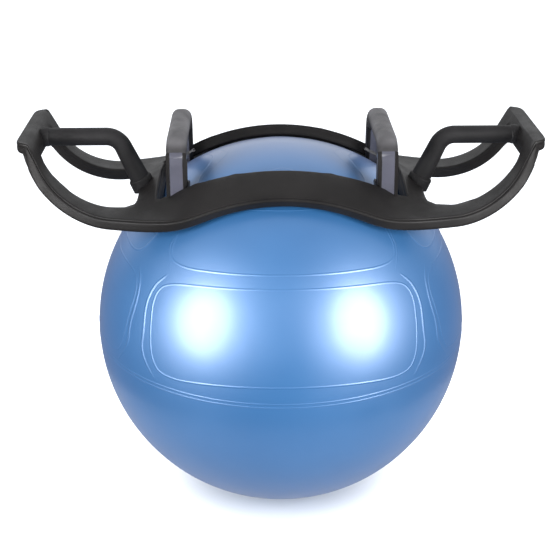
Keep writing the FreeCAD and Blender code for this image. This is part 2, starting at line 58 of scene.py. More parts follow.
# Shape of the ring's upper surface, in millimetres from the ball's centre.
RING_RISE = 19.25
CROWN = BALL + RING_RISE
CROWN_REACH = 0.91 * BALL       # the crown's curve is followed this far out
WING = CROWN - 84.25
WING_START = 235.0
WING_BEND = 105.0
SLOPE = math.radians(65.0)
CREST = WING + 95.0
VALLEY = 8.0
BEND_END = WING_START + WING_BEND * math.sin(SLOPE)
BEND_RISE = WING_BEND * (1 - math.cos(SLOPE))
CREST_X = BEND_END + (CREST - WING - BEND_RISE) / math.tan(SLOPE)
RING_DEPTH = 17.0

# Plan of the ring.
BRIDGE_HALF = 160.0
CORNER_X = 118.0
SHOULDER_X = 165.0
SHOULDER_HALF = 151.0
WAIST_X = 248.0
WAIST_HALF = 127.0
TIP_HALF = 90.0
END_TRIM = 0.46
END_FACE_X = CREST_X + RING_DEPTH / math.sin(SLOPE) - END_TRIM
TIP_X = CREST_X + 6.0
CORNER_POWER = 1.9              # how suddenly the bridge turns into the shoulder
OPENING_X = 176.0
OPENING_MID = 113.0
OPENING_END = 90.0
HUB_END = OPENING_X + 29.0
LOOP_HUB = 86.0
LOOP_TIP = 63.0
LOOP_STOP = CREST_X - 9.0
LOOP_CORNER = 4.0
# How an end loop narrows: share of its length, share of its taper.
LOOP_SHAPE = ((0.04, 0.0), (0.33, 0.2), (0.66, 0.65), (1.0, 1.0))

# Handles.
ARCH_X = 145.3
ARCH_WIDTH = 28.5
ARCH_DEPTH = 27.0
ARCH_HALF = 102.0
ARCH_TOP = CROWN + 17.5
ARCH_BEND = 31.0
ARCH_ROUND = 12.5               # edge radius along the top of the grip
ARCH_ROUND_LOW = 6.0            # and where it meets a leg
ARCH_ROUND_ROWS = 14.0          # rows of the sweep over which the one becomes the other
GRIP_END_SHRINK = (0.5, 0.15, 0.0)      # how far the grip's end rows are drawn in
LEAN = math.tan(math.radians(6.0))
LEG_CHAMFER = 4.0
LEG_LIP = 0.7                   # width of the edge line beside a let-in flat
LEG_RAMP = 0.7
LEG_RECESS = 0.9
LEG_RECESS_START = (0.0, 0.0, 0.5)   # depth of the first rows below the grip
LEG_TOP = ARCH_TOP - 28.0
GRIP_OVERLAP = 0.5
LEG_OVERLAP = 1.5
BAR_Z = WING + 78.0
BAR_RADIUS = 12.75
BAR_CORNER_X = 233.5
BAR_BEND = 26.0
BAR_SLOPE = math.radians(65.5)
BAR_LET_IN = 4.0                # how far a bar runs on into the pieces at its ends
FLANGE = 1.1                    # how far the flange by the end bar stands out
FLARE = 14.6
COLLAR = 17.0
COLLAR_LENGTH = 11.0
SWEEP_STEP = 2.0

SIDES = (("left", -1), ("right", 1))
ENDS = (("front", -1), ("rear", 1))


# ---------------------------------------------------------------- meshes

def make_object(name, points, faces, body, slot, material, replaced):
    """A smooth-shaded piece from points in millimetres about the ball's centre."""
    mesh = bpy.data.meshes.new(name)
    mesh.from_pydata([Vector(p) * MM + CENTRE for p in points], [], faces)
    mesh.validate()
    mesh.shade_smooth()
    obj = bpy.data.objects.new(name, mesh)
    bpy.context.scene.collection.objects.link(obj)
    mesh.materials.append(material)
    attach(obj, body)
    if replaced:
        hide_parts(*replaced)
    return obj


def facing_out(obj):
    """Turns a closed piece's faces outwards."""
    bpy.context.view_layer.objects.active = obj
    bpy.ops.object.mode_set(mode="EDIT")
    bpy.ops.mesh.select_all(action="SELECT")
    bpy.ops.mesh.normals_make_consistent(inside=False)
    bpy.ops.object.mode_set(mode="OBJECT")


def sharpen(obj, degrees):
    """Keeps edges sharper than an angle crisp in the shading."""
    obj.data.set_sharp_from_angle(angle=math.radians(degrees))


def tube(rings):
    """Points and faces of a closed skin over rings of points with equal counts."""
    count = len(rings[0])
    points = [p for ring in rings for p in ring]
    faces = []
    for i in range(len(rings) - 1):
        for j in range(count):
            k = (j + 1) % count
            faces.append((i * count + j, i * count + k,
                          (i + 1) * count + k, (i + 1) * count + j))
    faces.append(tuple(range(count))[::-1])
    faces.append(tuple((len(rings) - 1) * count + j for j in range(count)))
    return points, faces


def joined(parts):
    """Several skins as one list of points and faces."""
    points = []
    faces = []
    for part_points, part_faces in parts:
        start = len(points)
        points += list(part_points)
        faces += [tuple(start + i for i in face) for face in part_faces]
    return points, faces


# ---------------------------------------------------------------- materials

def noise(tree, coords, scale, detail=4.0, stretch=None):
    """A noise over the piece's own coordinates in metres, optionally drawn out along an axis."""
    if stretch:
        mapping = tree.nodes.new("ShaderNodeMapping")
        mapping.inputs["Scale"].default_value = stretch
        tree.links.new(coords, mapping.inputs["Vector"])
        coords = mapping.outputs["Vector"]
    node = tree.nodes.new("ShaderNodeTexNoise")
    node.inputs["Scale"].default_value = scale
    node.inputs["Detail"].default_value = detail
    tree.links.new(coords, node.inputs["Vector"])
    return node.outputs["Fac"]


def ranged(tree, value, low, high):
    """Stretches the middle of a noise over the range from low to high."""
    node = tree.nodes.new("ShaderNodeMapRange")
    node.inputs["From Min"].default_value = 0.3
    node.inputs["From Max"].default_value = 0.7
    node.inputs["To Min"].default_value = low
    node.inputs["To Max"].default_value = high
    tree.links.new(value, node.inputs["Value"])
    return node.outputs["Result"]


def mixed(tree, share, first, second):
    """A colour between two others, each either plain numbers or a socket."""
    node = tree.nodes.new("ShaderNodeMix")
    node.data_type = "RGBA"
    colours = [s for s in node.inputs if s.type == "RGBA"]
    tree.links.new(share, node.inputs[0])
    for socket, value in zip(colours, (first, second)):
        if isinstance(value, tuple):
            socket.default_value = value + (1.0,)
        else:
            tree.links.new(value, socket)
    return [s for s in node.outputs if s.type == "RGBA"][0]


GLOSS_SCALE = 2.3               # gloss varies over smaller patches than colour does
GRAIN_DEPTH = 0.0004
GRAIN_DETAIL = 3.0


def material(name, dark, light, roughness, patch_scale, grain_scale, grain, stretch=None,
             **settings):
    """Principled material: patchy colour between two tones, uneven gloss and a fine grain."""
    made = bpy.data.materials.new(name)
    made.use_nodes = True
    tree = made.node_tree
    shader = tree.nodes["Principled BSDF"]
    coords = tree.nodes.new("ShaderNodeTexCoord").outputs["Object"]
    colour = mixed(tree, ranged(tree, noise(tree, coords, patch_scale), 0.0, 1.0), dark, light)
    tree.links.new(colour, shader.inputs["Base Color"])
    gloss = ranged(tree, noise(tree, coords, patch_scale * GLOSS_SCALE), roughness[0], roughness[1])
    tree.links.new(gloss, shader.inputs["Roughness"])
    bump = tree.nodes.new("ShaderNodeBump")
    bump.inputs["Strength"].default_value = grain
    bump.inputs["Distance"].default_value = GRAIN_DEPTH
    texture = noise(tree, coords, grain_scale, GRAIN_DETAIL, stretch)
    tree.links.new(texture, bump.inputs["Height"])
    tree.links.new(bump.outputs["Normal"], shader.inputs["Normal"])
    for socket, value in settings.items():
        shader.inputs[socket.replace("_", " ")].default_value = value
    return made


# Painted rim reflection: the ball's colour towards its edge.
RIM_REFLECTION_LILAC = (0.22, 0.25, 0.45)
# Painted shade on the bend where the grip turns down into the legs.
BEND_PAINTED_SHADE = (0.022, 0.021, 0.023)
BAND_LOW = ARCH_TOP - 19.0      # the grip is painted in shade below here
BAND_HIGH = ARCH_TOP - 7.0      # and in painted light above here


def ball_material():
    """Blue vinyl whose colour turns pale lilac towards the edge of the ball, a painted rim reflection
    for its pearl sheen.
    """
    made = material("ball_vinyl", (0.010, 0.104, 0.285), (0.016, 0.124, 0.325), (0.42, 0.48),
                    5.0, 900.0, 0.03, Metallic=0.3, IOR=2.2, Coat_Weight=0.40,
                    Coat_Roughness=0.22)
    tree = made.node_tree
    shader = tree.nodes["Principled BSDF"]
    plain = shader.inputs["Base Color"].links[0].from_socket
    weight = tree.nodes.new("ShaderNodeLayerWeight")
    weight.inputs["Blend"].default_value = 0.30
    curve = tree.nodes.new("ShaderNodeMapRange")
    curve.interpolation_type = "SMOOTHSTEP"
    curve.inputs["From Min"].default_value = 0.25
    curve.inputs["From Max"].default_value = 1.0
    curve.inputs["To Max"].default_value = 0.5
    tree.links.new(weight.outputs["Facing"], curve.inputs["Value"])
    # Painted rim reflection: pale lilac mixed in towards the ball's edge.
    painted_rim_reflection = mixed(tree, curve.outputs["Result"], plain, RIM_REFLECTION_LILAC)
    tree.links.new(painted_rim_reflection, shader.inputs["Base Color"])
    return made


def arch_material():
    """Grip rubber painted lighter than the side grips as painted light along the top, and dark as
    painted shade where it bends down into the legs.
    """
    # A lighter copy of the grip rubber, as painted light on the arch.
    made = material("arch_rubber_painted_light", (0.060, 0.059, 0.063), (0.120, 0.117, 0.125), (0.5, 0.66),
                    26.0, 800.0, 1.0, (3.0, 1.0, 0.5), Specular_IOR_Level=0.35)
    tree = made.node_tree
    shader = tree.nodes["Principled BSDF"]
    plain = shader.inputs["Base Color"].links[0].from_socket
    split = tree.nodes.new("ShaderNodeSeparateXYZ")
    tree.links.new(tree.nodes.new("ShaderNodeTexCoord").outputs["Object"], split.inputs["Vector"])
    height = tree.nodes.new("ShaderNodeMapRange")
    height.interpolation_type = "SMOOTHSTEP"
    height.inputs["From Min"].default_value = CENTRE.z + BAND_LOW * MM
    height.inputs["From Max"].default_value = CENTRE.z + BAND_HIGH * MM
    tree.links.new(split.outputs["Z"], height.inputs["Value"])
    # Painted shade on the bend, painted light along the top.
    lit_top_shaded_bend = mixed(tree, height.outputs["Result"], BEND_PAINTED_SHADE, plain)
    tree.links.new(lit_top_shaded_bend, shader.inputs["Base Color"])
    return made


MATERIALS = {
    "ball_vinyl": ball_material(),
    "ring_plastic": material(
        "ring_plastic", (0.006, 0.0055, 0.0056), (0.012, 0.011, 0.011), (0.40, 0.54),
        14.0, 1500.0, 0.4, Specular_IOR_Level=0.18),
    "leg_plastic": material(
        "leg_plastic", (0.040, 0.041, 0.056), (0.060, 0.061, 0.085), (0.34, 0.44),
        20.0, 1300.0, 0.3, Specular_IOR_Level=0.5),
    "grip_rubber": material(
        "grip_rubber", (0.009, 0.0085, 0.0092), (0.016, 0.0155, 0.0165), (0.5, 0.66),
        18.0, 700.0, 0.9, (3.0, 1.0, 0.6), Specular_IOR_Level=0.2),
    "arch_rubber_painted_light": arch_material(),
    "pad_rubber": material(
        "pad_rubber", (0.010, 0.010, 0.010), (0.018, 0.018, 0.018), (0.7, 0.85),
        25.0, 1200.0, 0.8),
    "valve_rubber": material(
        "valve_rubber", (0.52, 0.55, 0.60), (0.62, 0.65, 0.70), (0.45, 0.6),
        60.0, 1600.0, 0.3),
    "dark_steel": material(
        "dark_steel", (0.030, 0.030, 0.032), (0.055, 0.055, 0.058), (0.3, 0.45),
        60.0, 1800.0, 0.4, Metallic=0.6),
    "steel": material(
        "steel", (0.42, 0.42, 0.44), (0.56, 0.56, 0.58), (0.28, 0.42),
        60.0, 1800.0, 0.4, (1.0, 1.0, 6.0), Metallic=1.0),
}


# ---------------------------------------------------------------- ball

BALL_SKIN = BALL - 0.6          # the boldest ribs rise from here to the ball's full radius
FINE_RIB = (1.9, 0.32)          # half-width and height
BOLD_RIB = (2.9, 0.60)
SEAM_RIB = (1.3, 0.28)
RIB_SINK = 0.06                 # a rib's edges lie just under the skin
RIB_STEP = 1.2                  # degrees between the rows of a rib
PATCH_ROUND = 7.0               # degrees of latitude over which the flat patch rounds off
PATCH_LIFT = 0.004
PATCH_SHRINK = 0.98
SKIN_TOP = 89.4                 # latitude of the last row, just short of the pole
SKIN_ROWS = 96
SKIN_COLUMNS = 192
PANEL_CORNER = 4.5              # degrees
SEAM_LATITUDE = -0.6
SEAM_SPREAD = 0.55              # degrees from the seam's middle to each of its two lines


def on_ball(longitude, latitude, radius):
    """Longitude 0 faces the front, and positive ones are on the right."""
    turn = math.radians(longitude)
    rise = math.radians(latitude)
    return Vector((math.sin(turn) * math.cos(rise), -math.cos(turn) * math.cos(rise),
                   math.sin(rise))) * radius


def ball_skin():
    """Sphere with a flat foot whose edge is rounded."""
    lowest = -CENTRE.z / MM
    edge = -math.degrees(math.acos(PATCH / BALL))
    rings = []
    for i in range(SKIN_ROWS + 1):
        latitude = edge + (SKIN_TOP - edge) * i / SKIN_ROWS
        ring = [on_ball(360.0 * j / SKIN_COLUMNS, latitude, BALL_SKIN) for j in range(SKIN_COLUMNS)]
        ease = max(0.0, 1 - (latitude - edge) / PATCH_ROUND)
        for point in ring:
            point.z = max(point.z, lowest) * (1 - PATCH_LIFT * ease * ease)
            point.z = max(point.z, lowest)
        rings.append(ring)
    foot = [Vector((p.x * PATCH_SHRINK, p.y * PATCH_SHRINK, lowest)) for p in rings[0]]
    return tube([foot] + rings)


def smooth_path(corners, closed, rounds=3):
    """Corner-cutting, which turns a few corners in longitude and latitude into a soft line."""
    points = [Vector(c) for c in corners]
    for _ in range(rounds):
        following = points[1:] + points[:1] if closed else points[1:]
        cut = []
        for a, b in zip(points, following):
            cut += [a.lerp(b, 0.25), a.lerp(b, 0.75)]
        points = cut if closed else [points[0]] + cut + [points[-1]]
    return points


def resampled(points, closed, spacing):
    """The same line with its points about evenly spaced."""
    chain = points + points[:1] if closed else points
    out = []
    for a, b in zip(chain, chain[1:]):
        count = max(1, round((b - a).length / spacing))
        out += [a.lerp(b, i / count) for i in range(count)]
    if not closed:
        out.append(chain[-1])
    return out


def rib(corners, closed, shape, taper=False):
    """A soft raised line on the ball; a tapered one fades out towards its ends."""
    half_width, height = shape
    flat = resampled(smooth_path(corners, closed), closed, RIB_STEP)
    line = [on_ball(p.x, p.y, 1.0) for p in flat]
    count = len(line)
    profile = [-1.0, -0.72, -0.4, 0.0, 0.4, 0.72, 1.0]
    rows = []
    for i, here in enumerate(line):
        ahead = line[(i + 1) % count] if closed else line[min(i + 1, count - 1)]
        behind = line[i - 1] if closed or i else line[0]
        across = here.cross(ahead - behind).normalized()
        share = 1.0
        if taper:
            share = min(1.0, 3.0 * min(i, count - 1 - i) / max(1, count) + 0.15)
        row = []
        for s in profile:
            lift = height * share * math.cos(s * math.pi / 2) ** 2 - RIB_SINK * abs(s)
            row.append(here * (BALL_SKIN + lift) + across * s * half_width * (0.6 + 0.4 * share))
        rows.append(row)
    points = [p for row in rows for p in row]
    wide = len(profile)
    faces = []
    for i in range(count if closed else count - 1):
        n = (i + 1) % count
        for j in range(wide - 1):
            faces.append((i * wide + j, i * wide + j + 1, n * wide + j + 1, n * wide + j))
    return points, faces


def panel(middle, half_top, half_bottom, low, high, bow):
    """Closed rounded panel outline: its upper and lower edges bow upwards in the middle."""
    steps = (-1.0, -0.5, 0.0, 0.5, 1.0)
    top = [(middle + s * (half_top - PANEL_CORNER), high + bow * (1 - s * s)) for s in steps]
    bottom = [(middle + s * (half_bottom - PANEL_CORNER), low + bow * (1 - s * s))
              for s in steps[::-1]]
    right = [(middle + half_top, high - PANEL_CORNER),
             (middle + (half_top + half_bottom) / 2, (low + high) / 2),
             (middle + half_bottom, low + PANEL_CORNER)]
    left = [(2 * middle - x, y) for x, y in right[::-1]]
    return top + right + bottom + left


def bracket(middle, side, half_top, half_bottom, low, high):
    """Bold open line beside a panel, hooked in over its corners."""
    return [(middle + side * (half_top - 2.5), high + 1.2),
            (middle + side * (half_top + 1.2), high - 2.5),
            (middle + side * (half_top + 2.4), high - 8.5),
            (middle + side * (half_top + half_bottom + 4.0) / 2, (low + high) / 2 - 2.0),
            (middle + side * (half_bottom + 3.2), low + 5.0),
            (middle + side * (half_bottom - 2.5), low - 1.4)]


CROWN_LINE = ((-39.0, 57.6), (-29.0, 60.6), (-15.0, 67.0), (0.0, 69.8),
              (15.0, 67.0), (29.0, 60.6), (39.0, 57.6))
CROWN_GAP = 4.5                 # degrees between the two lines over each side of the crown


def ball_ribs():
    """Two rows of panels with their brackets, the lines over the crown, and the seam."""
    ribs = []
    for middle in (0.0, 180.0):
        ribs.append(rib(panel(middle, 45.2, 41.8, 2.8, 30.2, 2.3), True, FINE_RIB))
        ribs.append(rib(panel(middle, 47.0, 46.0, 35.0, 55.0, 1.5), True, FINE_RIB))
        for side in (-1, 1):
            low = bracket(middle, side, 45.2, 43.0, 2.8, 30.4)
            high = bracket(middle, side, 46.2, 44.0, 34.6, 53.0)
            ribs.append(rib(low, False, BOLD_RIB, taper=True))
            ribs.append(rib(high, False, FINE_RIB, taper=True))
    for middle in (-90.0, 90.0):
        ribs.append(rib(panel(middle, 36.5, 34.5, 2.4, 29.0, 1.0), True, FINE_RIB))
        ribs.append(rib(panel(middle, 35.0, 32.0, 33.4, 55.0, 1.0), True, FINE_RIB))
        for side in (-1, 1):
            low = bracket(middle, side, 35.6, 34.4, 2.6, 29.4)
            ribs.append(rib(low, False, BOLD_RIB, taper=True))
    for quarter in range(4):
        middle = 90.0 * quarter
        crown = [(middle + x, y) for x, y in CROWN_LINE]
        ribs.append(rib(crown, False, FINE_RIB, taper=True))
        inner = [(x, y + CROWN_GAP) for x, y in crown[1:-1]]
        ribs.append(rib(inner, False, FINE_RIB, taper=True))
    for offset in (-SEAM_SPREAD, SEAM_SPREAD):
        ring = [(float(i), SEAM_LATITUDE + offset) for i in range(360)]
        ribs.append(closed_ring_rib(ring, SEAM_RIB))
    return ribs


def closed_ring_rib(ring, shape):
    """The seam's line runs right round, so it is joined end to end without smoothing."""
    half_width, height = shape
    profile = [-1.0, -0.5, 0.0, 0.5, 1.0]
    rows = []
    for longitude, latitude in ring:
        row = []
        for s in profile:
            lift = height * math.cos(s * math.pi / 2) ** 2 - RIB_SINK * abs(s)
            tilt = math.degrees(s * half_width / BALL)
            row.append(on_ball(longitude, latitude + tilt, BALL_SKIN + lift))
        rows.append(row)
    points = [p for row in rows for p in row]
    wide = len(profile)
    faces = []
    for i in range(len(rows)):
        n = (i + 1) % len(rows)
        for j in range(wide - 1):
            faces.append((i * wide + j, n * wide + j, n * wide + j + 1, i * wide + j + 1))
    return points, faces


ball_points, ball_faces = joined([ball_skin()] + ball_ribs())
ball = make_object("ball", ball_points, ball_faces, "ball", "ball_vinyl",
                   MATERIALS["ball_vinyl"], ["ball_shell"])


# ---------------------------------------------------------------- ring

SLOPE_STEP = 0.5                # run over which the upper surface's slope is measured
CREST_LIFT = 0.6
CREST_SOFTNESS = 2.4
GATHER_X = CREST_X - 26.0       # from here out the underside is drawn in towards the foot
FOOT_X = CREST_X - 6.0
END_BLEND_X = CREST_X - 2.0     # where the side profile starts to turn into the end profile
END_BLEND_LENGTH = 9.0
LOOP_SPACING = 3.0
OUTLINE_SOFTENING = 22
HOLE_SOFTENING = 8
GRID = 5.0
GRID_CLEARANCE = 3.0            # least distance from a grid point to an edge
MERGE_DISTANCE = 0.001
EDGE_INSET = 3.0


def wing_height(x):
    """Height of the upper surface along a wing: level, then an arc, then a straight slope."""
    run = abs(x) - WING_START
    if run <= 0:
        return WING
    if abs(x) <= BEND_END:
        return WING + WING_BEND - math.sqrt(WING_BEND ** 2 - run ** 2)
    return WING + BEND_RISE + (abs(x) - BEND_END) * math.tan(SLOPE)


def top_height(x, y):
    """Height of the upper surface, where the crown over the ball runs softly into the wings."""
    along = min(abs(x), CROWN_REACH)
    drop_x = BALL - math.sqrt(BALL ** 2 - along ** 2)
    drop_y = CROWN - math.sqrt(CROWN ** 2 - y ** 2)
    crown = CROWN - drop_x - drop_y
    wing = wing_height(x)
    return (crown + wing) / 2 + math.hypot((crown - wing) / 2, VALLEY)


def top_normal(x, y):
    step = SLOPE_STEP
    slope_x = (top_height(x + step, y) - top_height(x - step, y)) / (2 * step)
    slope_y = (top_height(x, y + step) - top_height(x, y - step)) / (2 * step)
    return Vector((-slope_x, -slope_y, 1)).normalized()


def soft_least(a, b, softness):
    """The lesser of two heights, rounded where they cross."""
    return (a + b) / 2 - math.hypot((a - b) / 2, softness) + softness * 0.2


def ring_point(x, y, depth):
    """A point of the ring under plan position (x, y), at a depth square to its upper surface.
    Beyond the crest the top runs level out to the end face, and the underside stops at the foot."""
    side = 1.0 if x > 0 else -1.0
    share = min(1.0, max(0.0, depth / RING_DEPTH))
    reach = abs(x)
    if reach > GATHER_X:
        squeeze = (FOOT_X - GATHER_X) / (END_FACE_X - EDGE_INSET - GATHER_X)
        squeezed = GATHER_X + (reach - GATHER_X) * squeeze
        reach = reach + (squeezed - reach) * share
    x = side * reach
    limited = min(reach, CREST_X + 1.0) * side
    height = top_height(limited, y)
    normal = top_normal(limited, y)
    height = soft_least(height, CREST + CREST_LIFT, CREST_SOFTNESS)
    return Vector((x, y, height)) - normal * depth


def outline_half(x):
    """Half the ring's depth in plan: the bridge, then a parabola over shoulder, waist and tip."""
    x = abs(x)
    if x < SHOULDER_X:
        t = min(1.0, max(0.0, (SHOULDER_X - x) / (SHOULDER_X - CORNER_X)))
        return BRIDGE_HALF - (BRIDGE_HALF - SHOULDER_HALF) * (1 - t) ** CORNER_POWER
    trio = ((SHOULDER_X, SHOULDER_HALF), (WAIST_X, WAIST_HALF), (TIP_X, TIP_HALF))
    value = 0.0
    for i, (xi, yi) in enumerate(trio):
        weight = 1.0
        for j, (xj, _) in enumerate(trio):
            if i != j:
                weight *= (x - xj) / (xi - xj)
        value += weight * yi
    return value


def even_loop(corners, softening):
    """Closed line with even spacing, its corners softened by averaging neighbours."""
    points = np.array(corners + corners[:1], float)
    lengths = np.r_[0, np.cumsum(np.linalg.norm(np.diff(points, axis=0), axis=1))]
    count = int(lengths[-1] / LOOP_SPACING)
    at = np.linspace(0, lengths[-1], count, endpoint=False)
    loop = np.stack([np.interp(at, lengths, points[:, k]) for k in (0, 1)], axis=1)
    for _ in range(softening):
        loop = 0.5 * loop + 0.25 * (np.roll(loop, 1, axis=0) + np.roll(loop, -1, axis=0))
    return loop


def outline_loop():
    back = [(x, outline_half(x)) for x in np.linspace(END_FACE_X, -END_FACE_X, 160)]
    front = [(-x, -y) for x, y in back]
    return even_loop(back + front, OUTLINE_SOFTENING)


def opening_loop():
    """The middle opening, whose long edges are arcs."""
    rise = OPENING_MID - OPENING_END
    radius = (OPENING_X ** 2 + rise ** 2) / (2 * rise)
    back = []
    for x in np.linspace(OPENING_X, -OPENING_X, 60):
        back.append((x, OPENING_MID - radius + math.sqrt(radius ** 2 - x ** 2)))
    front = [(-x, -y) for x, y in back]
    return even_loop(back + front, HOLE_SOFTENING)


def end_loop(side):
    """The hole of one end loop, which narrows towards the end bar."""
    span = LOOP_STOP - HUB_END
    taper = LOOP_HUB - LOOP_TIP
    shape = np.array(LOOP_SHAPE)
    fit = np.polyfit(shape[:, 0], LOOP_HUB - taper * shape[:, 1], 3)
    stops = np.linspace(shape[0, 0], shape[-1, 0], 40)
    back = [(HUB_END + t * span, float(np.polyval(fit, t))) for t in stops]
    back = [(HUB_END, LOOP_TIP + LOOP_CORNER)] + back
    front = [(x, -y) for x, y in back[::-1]]
    loop = [(side * x, y) for x, y in back + front]
    if side > 0:
        loop = loop[::-1]
    return even_loop(loop, HOLE_SOFTENING)


def outward_of(loop, into_hole):
    """Unit vectors square to the loop, pointing away from the ring's material."""
    ahead = np.roll(loop, -1, axis=0) - np.roll(loop, 1, axis=0)
    ahead /= np.linalg.norm(ahead, axis=1)[:, None]
    normal = np.stack([ahead[:, 1], -ahead[:, 0]], axis=1)
    middle = loop.mean(axis=0)
    signed = np.sum((loop - middle) * normal, axis=1).sum()
    if signed < 0:
        normal = -normal
    return -normal if into_hole else normal


# Edge profiles from the top of the ring to its underside: distance outwards and depth, or at the
# ends distance outwards and height. All three have as many points, as they run into one another.
OUTER_EDGE = ((-EDGE_INSET, 0.0), (-1.2, 0.15), (-0.3, 0.6), (0.0, 1.3), (-0.1, 2.1),
              (0.7, 2.5), (1.7, 2.8), (2.3, 3.5), (2.5, 5.0), (2.5, 8.0), (2.5, 11.0),
              (2.5, 13.0), (2.3, 14.8), (1.5, 16.1), (-0.2, 16.85), (-EDGE_INSET, RING_DEPTH))
INNER_EDGE = ((-EDGE_INSET, 0.0), (-1.6, 0.25), (-0.7, 0.8), (-0.2, 1.7), (0.0, 2.8),
              (0.0, 4.6), (-0.25, 5.5), (-0.25, 6.1), (0.0, 6.6), (0.0, 8.5), (0.0, 11.0),
              (0.0, 13.2), (-0.2, 14.8), (-0.8, 16.0), (-1.8, 16.8), (-EDGE_INSET, RING_DEPTH))
END_PROFILE = ((-EDGE_INSET, CREST), (-1.6, CREST - 0.3), (-0.7, CREST - 1.0), (-0.1, CREST - 2.2),
               (0.0, CREST - 3.6), (-0.3, CREST - 5.0), (-0.9, CREST - 5.8), (-0.9, CREST - 6.6),
               (0.0, CREST - 7.6), (0.1, CREST - 9.5), (0.0, CREST - 12.0), (-0.6, CREST - 14.0),
               (-2.0, CREST - 15.6), (-4.0, CREST - 16.6), (-6.6, CREST - 18.0), (-8.6, CREST - 19.4))


def edge_point(x, y, outward, offset, depth, end_step):
    """A point of an edge profile, which towards the ring's ends turns into the end profile."""
    at_side = ring_point(x + outward[0] * offset, y + outward[1] * offset, depth)
    blend = min(1.0, max(0.0, (abs(x) - END_BLEND_X) / END_BLEND_LENGTH))
    if end_step is None or blend <= 0:
        return at_side
    blend = blend * blend * (3 - 2 * blend)
    out, height = end_step
    at_end = Vector((x + outward[0] * out, y + outward[1] * out, height))
    return at_side.lerp(at_end, blend)


def plan_grid(loops, inset):
    """Staggered points between the loops, which keep clear of the edges."""
    grid = []
    near = np.array(inset)
    for i, x in enumerate(np.arange(-END_FACE_X, END_FACE_X, GRID)):
        for y in np.arange(-BRIDGE_HALF, BRIDGE_HALF, GRID):
            shifted = y + (i % 2) * GRID / 2
            if not inside_plan(x, shifted, loops):
                continue
            if np.min(np.hypot(near[:, 0] - x, near[:, 1] - shifted)) > GRID_CLEARANCE:
                grid.append((x, shifted))
    return grid


def plan_triangles(loops):
    """The ring's plan in triangles, and where each point of the loops came to lie in it."""
    inset = []
    edges = []
    for loop, into_hole in loops:
        start = len(inset)
        count = len(loop)
        inset += [tuple(p) for p in loop - outward_of(loop, into_hole) * EDGE_INSET]
        edges += [(start + i, start + (i + 1) % count) for i in range(count)]
    flat = [Vector(p) for p in inset + plan_grid(loops, inset)]
    result = delaunay_2d_cdt(flat, edges, [], 2, MERGE_DISTANCE)
    triangles = [tuple(f) for f in result[2] if covers(f, result[0], loops)]
    where = {source: index for index, sources in enumerate(result[3]) for source in sources}
    return result[0], triangles, where


def edge_wall(loop, into_hole, upper_row, lower_row, first):
    """Points and faces of one edge, between a row of the upper surface and one of the underside."""
    outward = outward_of(loop, into_hole)
    count = len(loop)
    profile = INNER_EDGE if into_hole else OUTER_EDGE
    points = []
    rows = [upper_row]
    for step in range(1, len(profile) - 1):
        offset, depth = profile[step]
        end_step = None if into_hole else END_PROFILE[step]
        rows.append([first + len(points) + i for i in range(count)])
        points += [edge_point(loop[i, 0], loop[i, 1], outward[i], offset, depth, end_step)
                   for i in range(count)]
    rows.append(lower_row)
    faces = []
    for upper, lower in zip(rows, rows[1:]):
        for i in range(count):
            n = (i + 1) % count
            faces.append((upper[i], upper[n], lower[n], lower[i]))
    return points, faces


def make_ring():
    """Upper surface, underside and the walls round the outline and the three holes."""
    loops = [(outline_loop(), False), (opening_loop(), True), (end_loop(-1), True),
             (end_loop(1), True)]
    plan_points, triangles, where = plan_triangles(loops)
    top_count = len(plan_points)
    points = [ring_point(p.x, p.y, 0.0) for p in plan_points]
    points += [ring_point(p.x, p.y, RING_DEPTH) for p in plan_points]
    faces = list(triangles)
    faces += [tuple(i + top_count for i in f[::-1]) for f in triangles]
    start = 0
    for loop, into_hole in loops:
        upper_row = [where[start + i] for i in range(len(loop))]
        lower_row = [i + top_count for i in upper_row]
        wall_points, wall_faces = edge_wall(loop, into_hole, upper_row, lower_row, len(points))
        points += wall_points
        faces += wall_faces
        start += len(loop)
    return points, faces


def inside_loop(x, y, loop):
    x0, y0 = loop[:, 0], loop[:, 1]
    x1, y1 = np.roll(x0, -1), np.roll(y0, -1)
    crosses = (y0 > y) != (y1 > y)
    at = x0 + (y - y0) * (x1 - x0) / np.where(y1 == y0, 1e-9, y1 - y0)
    return bool(np.sum(crosses & (x < at)) % 2)


def inside_plan(x, y, loops):
    return inside_loop(x, y, loops[0][0]) and not any(inside_loop(x, y, l) for l, _ in loops[1:])


def covers(face, plan_points, loops):
    middle = sum((plan_points[i] for i in face), Vector((0.0, 0.0))) / len(face)
    return inside_plan(middle.x, middle.y, loops)


ring_points, ring_faces = make_ring()
ring = make_object("ring", ring_points, ring_faces, "ring", "ring_plastic",
                   MATERIALS["ring_plastic"], ["ring_top_shell", "ring_base"])
facing_out(ring)
sharpen(ring, 38.0)


# ---------------------------------------------------------------- swept handles

def bent_path(corners, radius):
    """Straight runs joined by arcs, as points with their directions."""
    points = [corners[0]]
    for before, corner, after in zip(corners, corners[1:], corners[2:]):
        to_before = (before - corner).normalized()
        to_after = (after - corner).normalized()
        half = to_before.angle(to_after) / 2
        start = corner + to_before * (radius / math.tan(half))
        end = corner + to_after * (radius / math.tan(half))
        centre = corner + (to_before + to_after).normalized() * (radius / math.sin(half))
        turn = math.pi - 2 * half
        steps = max(6, int(turn * radius / SWEEP_STEP))
        u = start - centre
        v = end - centre
        for i in range(steps + 1):
            t = i / steps
            swung = u * math.sin((1 - t) * turn) + v * math.sin(t * turn)
            points.append(centre + swung / math.sin(turn))
    points.append(corners[-1])
    line = [points[0]]
    for a, b in zip(points, points[1:]):
        count = max(1, int((b - a).length / SWEEP_STEP))
        line += [a.lerp(b, (i + 1) / count) for i in range(count)]
    return line


def directions(line):
    """Which way a line of points runs at each of them."""
    out = []
    for i in range(len(line)):
        out.append((line[min(i + 1, len(line) - 1)] - line[max(i - 1, 0)]).normalized())
    return out


